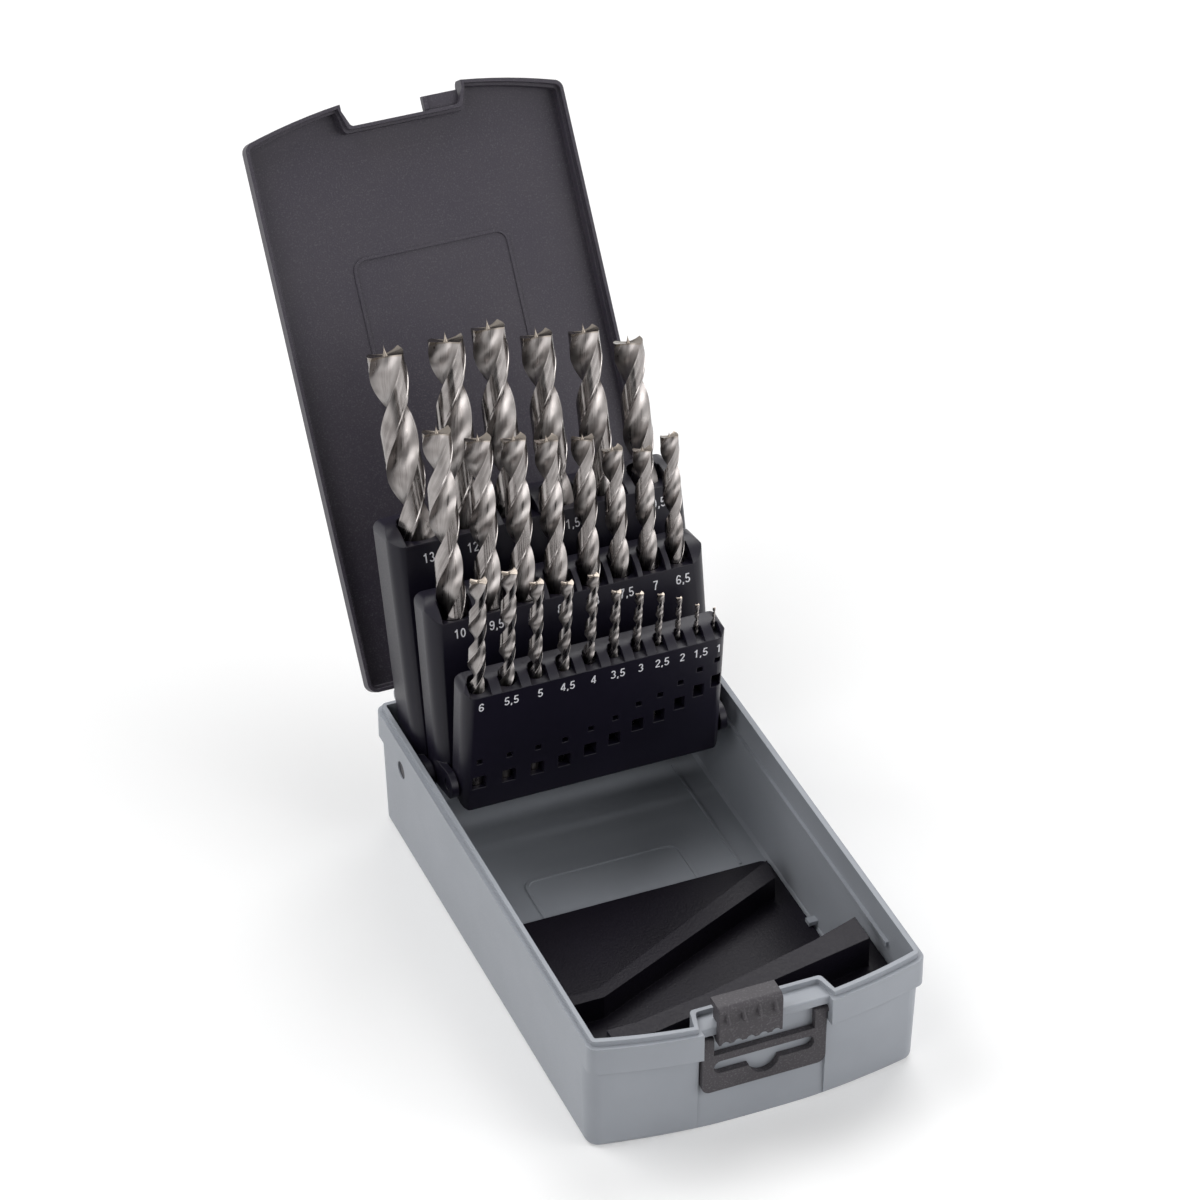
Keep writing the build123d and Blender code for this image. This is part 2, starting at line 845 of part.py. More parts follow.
def holder_profile(holder):
    """Side view of a holder's block, whose top falls in a curve to the front face."""
    depth = holder.front_u - holder.back_u
    crest = holder.back_u + depth * holder_crest_share
    brow = holder.top - holder.shoulder
    outline = [
        (holder.front_u, brow),
        (holder.front_u - holder_taper, holder.bottom),
        (holder.back_u + holder.heel / 2, holder.bottom),
        (holder.back_u, holder.bottom + holder.heel),
        (holder.back_u, holder.top),
        (crest, holder.top),
    ]
    if holder.heel == 0:
        outline.pop(3)
    corners = [(PIVOT_Y - u, pivot_height + w) for u, w in outline]
    with BuildSketch(Plane.YZ) as profile:
        with BuildLine():
            Polyline(*corners)
            TangentArc(corners[-1], corners[0], tangent=(-1, 0))
        make_face()
    return profile.sketch


def holder_crown(holder):
    """Front view of a holder, with its two top corners rounded."""
    height = holder.top - holder.bottom
    with BuildSketch(Plane.XZ.offset(-(PIVOT_Y - holder.back_u + overlap))) as face:
        with Locations((0, pivot_height + holder.bottom + height / 2)):
            Rectangle(2 * holder.half_width, height)
        fillet(face.vertices().group_by(Axis.Z)[-1], holder_crown_radius)
    return face.sketch


def holder_block(holder):
    """The moulded body of a holder, rounded at its front and top corners."""
    half = holder.half_width
    block = Pos(-half, 0, 0) * extrude(holder_profile(holder), 2 * half)
    middle_u = (holder.front_u + holder.back_u) / 2
    depth = holder.front_u - holder.back_u
    outline = Pos(0, PIVOT_Y - middle_u) * Rectangle(2 * half, depth)
    front_corners = outline.vertices().sort_by(Axis.Y)[:2]
    outline = fillet(front_corners, min(holder_front_radius, depth * 0.42))
    outline = fillet(outline.vertices().sort_by(Axis.Y)[-2:], holder_back_radius)
    height = holder.top - holder.bottom
    column = extrude(
        Plane.XY.offset(pivot_height + holder.bottom) * outline, height
    )
    crown = extrude(holder_crown(holder), depth + 2 * overlap)
    return block & column & crown


def pocket(holder, drill):
    """The round pocket of one drill and the slot it cuts through the shoulder."""
    radius = drill.diameter / 2 + pocket_clearance
    floor = pivot_height + holder.top - drill.depth
    y = PIVOT_Y - holder.axis_u
    hole = Pos(drill.x, y, floor + drill.depth / 2 + 1) * Cylinder(radius, drill.depth + 2)
    reach = holder.front_u - holder.axis_u + 1
    height = holder.shoulder + 1
    low = pivot_height + holder.top - holder.shoulder
    slot = Pos(drill.x, y - reach / 2, low + height / 2) * Box(
        drill.diameter + slot_margin, reach, height
    )
    return hole + slot


def holder_lugs(holder, pivot_u, pivot_w):
    """Cheeks at both sides of a holder that carry the next holder's studs."""
    outer = holder.half_width
    lugs = []
    root = holder.back_u + 3.0
    pivot_point = folded_point(pivot_u, pivot_w)
    with BuildSketch(Plane.YZ) as face:
        with Locations((pivot_point.Y, pivot_point.Z)):
            Circle(cheek_radius)
        with Locations(((pivot_point.Y + PIVOT_Y - root) / 2, pivot_point.Z)):
            Rectangle(pivot_u - root, 2 * cheek_radius)
    for side in (-1, 1):
        start = min(side * outer, side * (outer - cheek_thickness))
        lugs.append(Pos(start, 0, 0) * extrude(face.sketch, cheek_thickness))
    return lugs


def side_studs(holder, diameter, reach):
    """Pivot studs standing out of both ends of a holder."""
    centre = folded_point(holder.pivot_u, holder.pivot_w)
    return [
        x_cylinder(diameter / 2, side * (holder.half_width - 1.5),
                   side * (holder.half_width + reach), centre.Y, centre.Z)
        for side in (-1, 1)
    ]


def carrier_holes(holder, child):
    """Holes through a holder's cheeks for the next holder's studs."""
    centre = folded_point(child.pivot_u, child.pivot_w)
    radius = stud_diameter / 2 + stud_fit
    return [
        x_cylinder(radius, side * (holder.half_width - cheek_thickness - 1),
                   side * (holder.half_width + 1), centre.Y, centre.Z)
        for side in (-1, 1)
    ]


def upright_holder(holder, child=None):
    """One holder drawn upright, with its pockets, studs and cheeks."""
    part = holder_block(holder)
    if child is not None:
        part += holder_lugs(holder, child.pivot_u, child.pivot_w)
        part -= carrier_holes(holder, child)
    part -= [pocket(holder, drill) for drill in holder.drills]
    return part


def pocket_windows(holder):
    """Two square moulding windows below and above each pocket's floor."""
    cutters = []
    y = PIVOT_Y - holder.front_u
    depth = holder.front_u - holder.axis_u
    for drill in holder.drills:
        floor = pivot_height + holder.top - drill.depth
        width = window_width + drill.diameter * window_growth
        low = Pos(drill.x, y + depth / 2, floor + window_rise) * Box(
            width, depth + 0.4, window_height
        )
        high = Pos(drill.x, y + depth / 2, floor + window_rise + window_pitch) * Box(
            small_window, depth + 0.4, small_window
        )
        cutters += [low, high]
    return cutters


def raised_pivot(holder, parents):
    """Where the holder's own pivot stands once its parents are raised."""
    place = PIVOT
    for parent, child in zip(parents, parents[1:] + [holder]):
        step = folded_point(child.pivot_u, child.pivot_w) - folded_point(
            parent.pivot_u, parent.pivot_w
        )
        place = place + step.rotate(Axis.X, -parent.lean)
    return place


def raised(part, holder, parents):
    """The part moved from its upright drawing position to its raised place."""
    own = folded_point(holder.pivot_u, holder.pivot_w)
    place = raised_pivot(holder, parents)
    return Pos(place) * Rot(-holder.lean, 0, 0) * Pos(-own) * part


# ---- drills -------------------------------------------------------------------


def flute_ring(drill, height):
    """Corners of the two-flute section at this height, turned by the helix."""
    radius = drill.diameter / 2
    turn = height / (flute_lead * drill.diameter) * 360
    return [
        (
            radius * share * cos(radians(angle + half + turn)),
            radius * share * sin(radians(angle + half + turn)),
            height,
        )
        for half in (0, 180)
        for angle, share in FLUTE_CORNERS
    ]


def band_faces(lower, upper):
    """Flat triangles between two rings with as many corners each."""
    faces = []
    for n, corner in enumerate(lower):
        after = (n + 1) % len(lower)
        faces.append(Face(Wire.make_polygon([corner, lower[after], upper[n]])))
        faces.append(Face(Wire.make_polygon([lower[after], upper[after], upper[n]])))
    return faces


def brad_faces(drill, rim):
    """The ground end over the last ring: a hollow up to the spurs, and a spike."""
    root = [Vector(*c) * brad_root + Vector(0, 0, (drill.length - brad_height
            * drill.diameter)) - Vector(0, 0, c[2] * brad_root) for c in rim]
    tip = Vector(0, 0, drill.length)
    faces = band_faces(rim, [tuple(v) for v in root])
    for n, corner in enumerate(root):
        faces.append(Face(Wire.make_polygon([corner, root[(n + 1) % len(root)], tip])))
    return faces


def fluted_solid(drill):
    """The fluted length with its brad point, as flat facets along the helix."""
    start = drill.length - drill.flute
    end = drill.length - spur_drop * drill.diameter
    lead = flute_lead * drill.diameter
    steps = max(3, round((end - start) / lead * 360 / flute_step))
    rings = [flute_ring(drill, start + (end - start) * n / steps) for n in range(steps + 1)]
    faces = [Face(Wire.make_polygon(rings[0]))]
    for lower, upper in zip(rings, rings[1:]):
        faces += band_faces(lower, upper)
    faces += brad_faces(drill, rings[-1])
    return Solid(Shell(faces))


def drill_solid(drill):
    """A brad-point drill standing on its shank at the origin."""
    start = drill.length - drill.flute
    shank = Pos(0, 0, start / 2) * Cylinder(drill.diameter / 2, start)
    return shank + fluted_solid(drill)


def placed_drill(drill, holder, parents):
    """The drill standing in its pocket, in the raised holder."""
    floor = folded_point(holder.axis_u, holder.top - drill.depth)
    return raised(Pos(drill.x, floor.Y, floor.Z) * drill_solid(drill), holder, parents)


def drill_name(drill):
    """File name of a drill, such as drill_6_5."""
    return "drill_" + f"{drill.diameter:.1f}".replace(".", "_")


# ---- the case -----------------------------------------------------------------


def case_parts():
    """Every node of the case by name."""
    left_pin, right_pin = hinge_pins()
    parts = {
        "base_tray": base_tray(),
        "drill_rest": drill_rest(),
        "hinge_pin_left": left_pin,
        "hinge_pin_right": right_pin,
        "lid_shell": lid_shell(),
        "latch_slider": latch_slider(),
        "hanger_bail": hanger_bail(),
    }
    rear = upright_holder(REAR, MIDDLE) + side_studs(REAR, wall_stud_diameter, wall_stud_reach)
    middle = upright_holder(MIDDLE, FRONT_TIER) + side_studs(
        MIDDLE, stud_diameter, stud_reach
    )
    front = upright_holder(FRONT_TIER) + side_studs(FRONT_TIER, stud_diameter, stud_reach)
    front -= pocket_windows(FRONT_TIER)
    rows = (
        ("holder_rear", rear, REAR, []),
        ("holder_middle", middle, MIDDLE, [REAR]),
        ("holder_front", front, FRONT_TIER, [REAR, MIDDLE]),
    )
    for name, part, holder, parents in rows:
        parts[name] = raised(part, holder, parents)
        for drill in holder.drills:
            parts[drill_name(drill)] = placed_drill(drill, holder, parents)
    return parts


if __name__ == "__main__":
    os.makedirs("parts", exist_ok=True)
    for name, part in case_parts().items():
        export_step(part, f"parts/{name}.step")
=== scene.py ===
"""Looks of a drill bit case: finishes, smooth drills and printed sizes."""

import json
import logging
import math
from dataclasses import dataclass
from dataclasses import field
from enum import Enum

import bpy
import numpy as np
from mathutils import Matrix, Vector


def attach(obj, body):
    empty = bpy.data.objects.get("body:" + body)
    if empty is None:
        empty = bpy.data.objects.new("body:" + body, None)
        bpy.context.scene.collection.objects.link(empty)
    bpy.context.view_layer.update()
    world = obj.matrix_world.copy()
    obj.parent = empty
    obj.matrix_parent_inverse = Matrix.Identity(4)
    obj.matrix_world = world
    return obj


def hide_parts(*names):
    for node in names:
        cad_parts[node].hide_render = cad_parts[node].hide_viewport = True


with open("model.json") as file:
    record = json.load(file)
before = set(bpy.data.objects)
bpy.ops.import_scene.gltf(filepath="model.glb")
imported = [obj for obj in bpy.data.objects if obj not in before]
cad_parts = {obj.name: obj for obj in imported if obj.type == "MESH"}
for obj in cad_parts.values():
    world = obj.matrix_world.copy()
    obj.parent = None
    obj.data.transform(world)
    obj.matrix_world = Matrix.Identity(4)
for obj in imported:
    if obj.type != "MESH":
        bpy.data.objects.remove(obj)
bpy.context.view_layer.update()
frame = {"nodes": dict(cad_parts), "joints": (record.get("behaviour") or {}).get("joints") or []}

LOG = logging.getLogger("drill_case")
MM = 0.001
WHITE = (1.0, 1.0, 1.0, 1.0)

# a Mix node's sockets by number: its factor, two plain values or two colours, results
FACTOR, VALUE_A, VALUE_B, COLOUR_A, COLOUR_B = 0, 2, 3, 6, 7
MIXED_VALUE, MIXED_COLOUR = 0, 2

# ---- small helpers ------------------------------------------------------------


def linear(code: str) -> tuple[float, float, float, float]:
    """Turn an sRGB hex colour into linear light, by the sRGB standard's own curve.

    Args:
        code: six hex digits, such as "8E949B".

    Returns:
        Red, green, blue and a full alpha.
    """
    parts = [int(code[n:n + 2], 16) / 255 for n in (0, 2, 4)]
    light = [c / 12.92 if c <= 0.04045 else ((c + 0.055) / 1.055) ** 2.4 for c in parts]
    return (light[0], light[1], light[2], 1.0)


def empty_material(name: str) -> tuple[bpy.types.Material, bpy.types.NodeTree]:
    """Start a material that has no nodes yet.

    Args:
        name: the material's name.

    Returns:
        The material and its node tree.
    """
    material = bpy.data.materials.new(name)
    material.use_nodes = True
    material.node_tree.nodes.clear()
    return material, material.node_tree


def add_node(tree: bpy.types.NodeTree, kind: str,
             inputs: dict[int | str, object] | None = None,
             **settings: object) -> bpy.types.Node:
    """Add one shader node with its settings, values and links.

    Args:
        tree: the node tree that gets it.
        kind: the node's type name without its ShaderNode prefix.
        inputs: values, or output sockets to link, by input name or number.
        settings: attributes of the node itself.

    Returns:
        The new node.
    """
    node = tree.nodes.new("ShaderNode" + kind)
    for name, value in settings.items():
        setattr(node, name, value)
    for key, value in (inputs or {}).items():
        if isinstance(value, bpy.types.NodeSocket):
            tree.links.new(value, node.inputs[key])
        else:
            node.inputs[key].default_value = value
    return node


def grid_faces(rows: int, columns: int, closed: bool) -> np.ndarray:
    """Quads of a grid of points numbered row by row.

    Args:
        rows: number of rows of points.
        columns: number of points in each row.
        closed: whether the last column joins the first.

    Returns:
        An array of four point numbers for each quad, counter-clockwise seen from
        outside when the columns run counter-clockwise and the rows run upwards.
    """
    across = columns if closed else columns - 1
    r, c = np.meshgrid(np.arange(rows - 1), np.arange(across), indexing="ij")
    nxt = (c + 1) % columns
    quads = np.stack((r * columns + c, r * columns + nxt,
                      (r + 1) * columns + nxt, (r + 1) * columns + c), axis=-1)
    return quads.reshape(-1, 4)


def make_mesh(name: str, points: np.ndarray, faces: list, sharp_degrees: float,
              uv: np.ndarray | None = None) -> bpy.types.Object:
    """Put points and faces into a new object, shaded smooth up to an angle.

    Args:
        name: the object's name.
        points: rows of x, y, z in metres.
        faces: point numbers of each face.
        sharp_degrees: edges that turn by more than this stay sharp.
        uv: two numbers for each point, kept as the UV map.

    Returns:
        The new object, linked to the scene.
    """
    mesh = bpy.data.meshes.new(name)
    mesh.from_pydata(points.tolist(), [], faces)
    mesh.update()
    mesh.shade_smooth()
    mesh.set_sharp_from_angle(angle=math.radians(sharp_degrees))
    if uv is not None:
        layer = mesh.uv_layers.new(name="UVMap")
        corners = np.zeros(len(mesh.loops), dtype=np.int32)
        mesh.loops.foreach_get("vertex_index", corners)
        layer.data.foreach_set("uv", uv[corners].astype(np.float32).ravel())
    piece = bpy.data.objects.new(name, mesh)
    bpy.context.scene.collection.objects.link(piece)
    return piece


def direction(azimuth: float, elevation: float) -> Vector:
    """The way from the case towards something that stands or hangs round it.

    Args:
        azimuth: degrees to the right of the front.
        elevation: degrees over the floor.

    Returns:
        A vector of length one.
    """
    az, el = math.radians(azimuth), math.radians(elevation)
    return Vector((math.sin(az) * math.cos(el), -math.cos(az) * math.cos(el),
                   math.sin(el)))


# ---- finishes -----------------------------------------------------------------


@dataclass(frozen=True)
class MouldedPlastic:
    """A moulded thermoplastic with the grain of its spark-eroded tool.

    The eye sees a dull body colour, a soft broad sheen and a fine even speckle
    that breaks the highlights up.
    """

    name: str
    colour: str
    shade: str  # colour of the faint patches
    roughness: float
    grain_mm: float  # width of one grain of the tool's texture
    grain_depth: float  # height of the grain as the bump node's distance, in mm
    edge_mm: float = 0.35  # how far the moulded edges are rounded
    specular: float = 0.3
    speckle: float = 0.0  # how much the grain shows as lighter points
    speckle_band: tuple[float, float] = (0.52, 0.75)  # grain that makes such a point
    patch_mm: float = 30.0  # width of one faint patch
    noise_band: tuple[float, float] = (0.3, 0.7)  # what most of a noise lies between
    gloss_spread: tuple[float, float] = (-0.05, 0.06)  # roughness added by the grain
    refraction: float = 1.49  # index of such plastics

    def build(self) -> bpy.types.Material:
        """Make the material: patches and points of colour, grained gloss and bumps.

        Returns:
            The new material.
        """
        material, tree = empty_material(self.name)
        low, high = self.noise_band
        place = add_node(tree, "TexCoord").outputs["Object"]
        patches = add_node(tree, "TexNoise", {
            "Vector": place, "Scale": 1 / (self.patch_mm * MM),
            "Detail": 3.0, "Roughness": 0.6})
        grain = add_node(tree, "TexNoise", {
            "Vector": place, "Scale": 1 / (self.grain_mm * MM),
            "Detail": 2.0, "Roughness": 0.55})
        spread = add_node(tree, "MapRange", {
            "Value": patches.outputs["Fac"], "From Min": low, "From Max": high})
        body = add_node(tree, "Mix", {
            FACTOR: spread.outputs["Result"], COLOUR_A: linear(self.colour),
            COLOUR_B: linear(self.shade)}, data_type="RGBA")
        colour = body.outputs[MIXED_COLOUR]
        if self.speckle > 0:
            faint, full = self.speckle_band
            points = add_node(tree, "MapRange", {
                "Value": grain.outputs["Fac"], "From Min": faint, "From Max": full,
                "To Max": self.speckle})
            light = add_node(tree, "Mix", {
                FACTOR: points.outputs["Result"], COLOUR_A: colour,
                COLOUR_B: WHITE}, data_type="RGBA")
            colour = light.outputs[MIXED_COLOUR]
        dull = add_node(tree, "MapRange", {
            "Value": grain.outputs["Fac"], "From Min": low, "From Max": high,
            "To Min": self.roughness + self.gloss_spread[0],
            "To Max": self.roughness + self.gloss_spread[1]})
        edge = add_node(tree, "Bevel", {"Radius": self.edge_mm * MM}, samples=4)
        bump = add_node(tree, "Bump", {
            "Height": grain.outputs["Fac"], "Strength": 1.0,
            "Distance": self.grain_depth * MM, "Normal": edge.outputs["Normal"]})
        shader = add_node(tree, "BsdfPrincipled", {
            "Base Color": colour, "Roughness": dull.outputs["Result"],
            "Normal": bump.outputs["Normal"], "IOR": self.refraction,
            "Specular IOR Level": self.specular})
        add_node(tree, "OutputMaterial", {"Surface": shader.outputs["BSDF"]})
        return material


@dataclass(frozen=True)
class GroundSteel:
    """High-speed steel: ground flutes, a finer ground land and a painted dark reflection on the
    end.

    The eye sees satin flutes that shade slowly, a brighter land with crisp streaks
    along the drill, faint grinding lines that follow the flute, and a darker, slightly
    brown end whose colour is a painted reflection of dark surroundings.
    """

    name: str
    colour: str
    stain: str  # colour of the darker clouds and lines
    painted_end_reflection: str  # colour of the end, a painted reflection of dark surroundings
    roughness: float  # of the flutes
    land_roughness: float
    land_share: float  # share of each half turn that the land takes
    line_count: float  # grinding lines round half the drill
    line_length_mm: float
    line_depth_mm: float = 0.006
    cloud_mm: float = 6.0  # width of one cloud
    cloud_band: tuple[float, float] = (0.75, 1.2)  # lines and clouds added together
    end_band: tuple[float, float] = (-0.5, 0.1)  # mm over the lips where the painted reflection grows

    def build(self) -> bpy.types.Material:
        """Make the material from the drill's UV: turn share and height over the lip.

        Noise stretched along the flute gives the lines, and they also vary the
        roughness. Their mean is about a half, so the roughness is doubled.

        Returns:
            The new material.
        """
        material, tree = empty_material(self.name)
        flat = add_node(tree, "UVMap").outputs["UV"]
        parts = add_node(tree, "SeparateXYZ", {"Vector": flat})
        share = add_node(tree, "Math", {0: parts.outputs["X"]}, operation="FRACT")
        on_land = add_node(tree, "Math", {
            0: share.outputs["Value"], 1: self.land_share}, operation="LESS_THAN")
        on_end = add_node(tree, "MapRange", {
            "Value": parts.outputs["Y"], "From Min": self.end_band[0],
            "From Max": self.end_band[1]})
        stretch = add_node(tree, "Mapping", {
            "Vector": flat, "Scale": (self.line_count, 1 / self.line_length_mm, 1.0)})
        lines = add_node(tree, "TexNoise", {
            "Vector": stretch.outputs["Vector"], "Scale": 1.0, "Detail": 3.0,
            "Roughness": 0.6})
        place = add_node(tree, "TexCoord").outputs["Object"]
        clouds = add_node(tree, "TexNoise", {
            "Vector": place, "Scale": 1 / (self.cloud_mm * MM), "Detail": 1.0})
        mixed = add_node(tree, "Math", {
            0: lines.outputs["Fac"], 1: clouds.outputs["Fac"]}, operation="ADD")
        spread = add_node(tree, "MapRange", {
            "Value": mixed.outputs["Value"], "From Min": self.cloud_band[0],
            "From Max": self.cloud_band[1]})
        body = add_node(tree, "Mix", {
            FACTOR: spread.outputs["Result"], COLOUR_A: linear(self.stain),
            COLOUR_B: linear(self.colour)}, data_type="RGBA")
        # painted reflection: the end is mixed towards a darker, browner colour that stands in
        # for dark surroundings mirrored there
        tinted = add_node(tree, "Mix", {
            FACTOR: on_end.outputs["Result"], COLOUR_A: body.outputs[MIXED_COLOUR],
            COLOUR_B: linear(self.painted_end_reflection)}, data_type="RGBA")
        base = add_node(tree, "Mix", {
            FACTOR: on_land.outputs["Value"], VALUE_A: self.roughness,
            VALUE_B: self.land_roughness})
        lined = add_node(tree, "Math", {
            0: base.outputs[MIXED_VALUE], 1: lines.outputs["Fac"]},
            operation="MULTIPLY")
        dull = add_node(tree, "Math", {0: lined.outputs["Value"], 1: 2.0},
                        operation="MULTIPLY")
        bump = add_node(tree, "Bump", {
            "Height": lines.outputs["Fac"], "Strength": 1.0,
            "Distance": self.line_depth_mm * MM})
        shader = add_node(tree, "BsdfPrincipled", {
            "Base Color": tinted.outputs[MIXED_COLOUR], "Metallic": 1.0,
            "Roughness": dull.outputs["Value"], "Normal": bump.outputs["Normal"]})
        add_node(tree, "OutputMaterial", {"Surface": shader.outputs["BSDF"]})
        return material


@dataclass(frozen=True)
class PlainPaint:
    """A thin opaque ink or wire surface that a little noise keeps from looking flat."""

    name: str
    colour: str
    shade: str
    roughness: float
    metallic: float = 0.0
    patch_mm: float = 0.6  # width of one patch of the noise

    def build(self) -> bpy.types.Material:
        """Make the material: two near colours mixed by a fine noise.

        Returns:
            The new material.
        """
        material, tree = empty_material(self.name)
        place = add_node(tree, "TexCoord").outputs["Object"]
        patches = add_node(tree, "TexNoise", {
            "Vector": place, "Scale": 1 / (self.patch_mm * MM), "Detail": 2.0})
        body = add_node(tree, "Mix", {
            FACTOR: patches.outputs["Fac"], COLOUR_A: linear(self.colour),
            COLOUR_B: linear(self.shade)}, data_type="RGBA")
        shader = add_node(tree, "BsdfPrincipled", {
            "Base Color": body.outputs[MIXED_COLOUR], "Roughness": self.roughness,
            "Metallic": self.metallic})
        add_node(tree, "OutputMaterial", {"Surface": shader.outputs["BSDF"]})
        return material


class Finish(Enum):
    """Every finish on the case."""

    # smooth-looking mid grey with a soft broad sheen and hardly any grain
    TRAY = MouldedPlastic("grey_polypropylene", "A0A4AB", "9A9EA5", roughness=0.42,
                          grain_mm=0.5, grain_depth=0.02)
    # dull dark grey, a little warm, with faint lighter points from the grain
    LID = MouldedPlastic("charcoal_polypropylene", "3A363E", "34303A", roughness=0.46,
                         grain_mm=0.55, grain_depth=0.04, speckle=0.04)
    # near black and almost even, with clear soft highlights on well rounded edges
    HOLDER = MouldedPlastic("black_satin_abs", "15121F", "110F1A", roughness=0.36,
                            grain_mm=0.4, grain_depth=0.012, edge_mm=0.5)
    # near black with a coarse grain that scatters the light to a weak grey
    REST = MouldedPlastic("black_grained_styrene", "15121B", "110E16", roughness=0.42,
                          grain_mm=0.9, grain_depth=0.1, edge_mm=0.3, specular=0.16)
    # dark grey and plainly rough, with lighter points all over
    FITTING = MouldedPlastic("dark_grey_grained_nylon", "464347", "3E3B3F",
                             roughness=0.5, grain_mm=0.7, grain_depth=0.09,
                             edge_mm=0.4, speckle=0.06)
    # satin grey flutes between brighter streaked lands, with a painted dark reflection on the
    # cutting end
    STEEL = GroundSteel("ground_high_speed_steel", "A5A09E", "7E7977", "827A72",
                        roughness=0.34, land_roughness=0.2, land_share=0.38,
                        line_count=16.0, line_length_mm=18.0)
    # bright smooth wire that shows sharp thin highlights
    WIRE = PlainPaint("drawn_steel_wire", "9A9A9C", "808083", 0.3, metallic=1.0)
    # flat opaque white with no shine to speak of
    INK = PlainPaint("white_pad_print", "F2F2F6", "E6E6EC", 0.55)


class Wardrobe:
    """Builds each finish once and dresses objects with it."""

    def __init__(self) -> None:
        """Start with no material made."""
        self.made: dict[Finish, bpy.types.Material] = {}

    def dress(self, piece: bpy.types.Object, finish: Finish) -> None:
        """Give a piece a finish in place of what it has.

        Args:
            piece: the object.
            finish: which finish it gets.
        """
        if finish not in self.made:
            self.made[finish] = finish.value.build()
        piece.data.materials.clear()
        piece.data.materials.append(self.made[finish])


# ---- drill holders ------------------------------------------------------------


@dataclass(frozen=True)
class Tier:
    """One drill holder's place: u forward of and w along from the wall pivot, in mm."""

    body: str
    joint: str
    lean: float  # degrees that the raised holder leans back
    pivot_u: float
    pivot_w: float
    axis_u: float  # u of the drills' axes
    front_u: float  # u of the front face over its taper
    top: float
    foot: float
    step: float  # where the taper starts under the top
    label_w: float  # w of the printed sizes' middle
    gap: float  # from drill to drill
    deepest: float  # depth of the deepest pocket
    sizes: tuple[float, ...]
    depth_start: float = math.inf  # pocket depth is this and a share of the length
    depth_share: float = 0.0
    taper: float = 0.5  # how much thinner the holder is at its foot

    def place(self, points: np.ndarray) -> np.ndarray:
        """Move points given as x, u, w in mm to the raised holder, in metres.

        A point turns about the holder's own pivot by the lean about X, after u has
        become minus y and w has become z.

        Args:
            points: rows of x, u, w.

        Returns:
            Rows of x, y, z.
        """
        pivot = next(j for j in frame["joints"] if j["name"] == self.joint)["pos_m"]
        y = -(points[:, 1] - self.pivot_u)
        z = points[:, 2] - self.pivot_w
        turn = math.radians(-self.lean)
        turned_y = y * math.cos(turn) - z * math.sin(turn)
        turned_z = y * math.sin(turn) + z * math.cos(turn)
        return np.stack((points[:, 0] * MM, pivot[1] + turned_y * MM,
                         pivot[2] + turned_z * MM), axis=1)

    def face_u(self, w: float) -> float:
        """The u of the sloping front face at this w."""
        reach = self.top - self.step - self.foot
        return self.front_u - self.taper * (1 - (w - self.foot) / reach)

    def pocket_depth(self, length: float) -> float:
        """Depth of the pocket for a drill of this length."""
        return min(self.deepest, self.depth_start + self.depth_share * length)

    def centres(self) -> list[float]:
        """The x of each pocket: drills side by side with an equal gap, centred.

        Returns:
            One x for each size, from left to right.
        """
        edge = -(sum(self.sizes) + self.gap * (len(self.sizes) - 1)) / 2
        places = []
        for size in self.sizes:
            places.append(edge + size / 2)
            edge += size + self.gap
        return places


SIZE_STEP = 0.5  # mm from one drill's diameter to the next


def halves(largest: float, smallest: float) -> tuple[float, ...]:
    """Drill diameters from the largest to the smallest by half millimetres."""
    return tuple(np.arange(largest, smallest - SIZE_STEP / 2, -SIZE_STEP).tolist())


REAR = Tier("rear_holder", "holder_fold", lean=16.0, pivot_u=0.0, pivot_w=0.0,
            axis_u=-4.5, front_u=5.3, top=86.7, foot=-3.0, step=5.3, label_w=76.0,
            gap=4.9, deepest=87.2, sizes=halves(13.0, 10.5))
MIDDLE = Tier("middle_holder", "middle_fold", lean=10.0, pivot_u=9.4, pivot_w=0.5,
              axis_u=14.0, front_u=20.0, top=68.0, foot=-4.5, step=7.1, label_w=56.2,
              gap=3.4, deepest=70.3, sizes=halves(10.0, 6.5))
FRONT = Tier("front_holder", "front_fold", lean=-5.0, pivot_u=24.5, pivot_w=3.2,
             axis_u=26.4, front_u=31.6, top=49.5, foot=-5.0, step=3.6, label_w=41.5,
             gap=5.13, deepest=47.5, sizes=halves(6.0, 1.0), depth_start=13.5,
             depth_share=0.42)

# ---- drills -------------------------------------------------------------------

# standard jobber lengths: up to each diameter, the overall and the fluted length
JOBBER_STEPS = (
    (1.0, 34.0, 12.0), (1.5, 40.0, 18.0), (2.0, 49.0, 24.0), (2.5, 57.0, 30.0),
    (3.0, 61.0, 33.0), (3.5, 70.0, 39.0), (4.0, 75.0, 43.0), (4.5, 80.0, 47.0),
    (5.0, 86.0, 52.0), (6.0, 93.0, 57.0), (6.5, 101.0, 63.0), (7.5, 109.0, 69.0),
    (8.5, 117.0, 75.0), (9.5, 125.0, 81.0), (10.5, 133.0, 87.0), (11.5, 142.0, 94.0),
    (13.0, 151.0, 101.0),
)


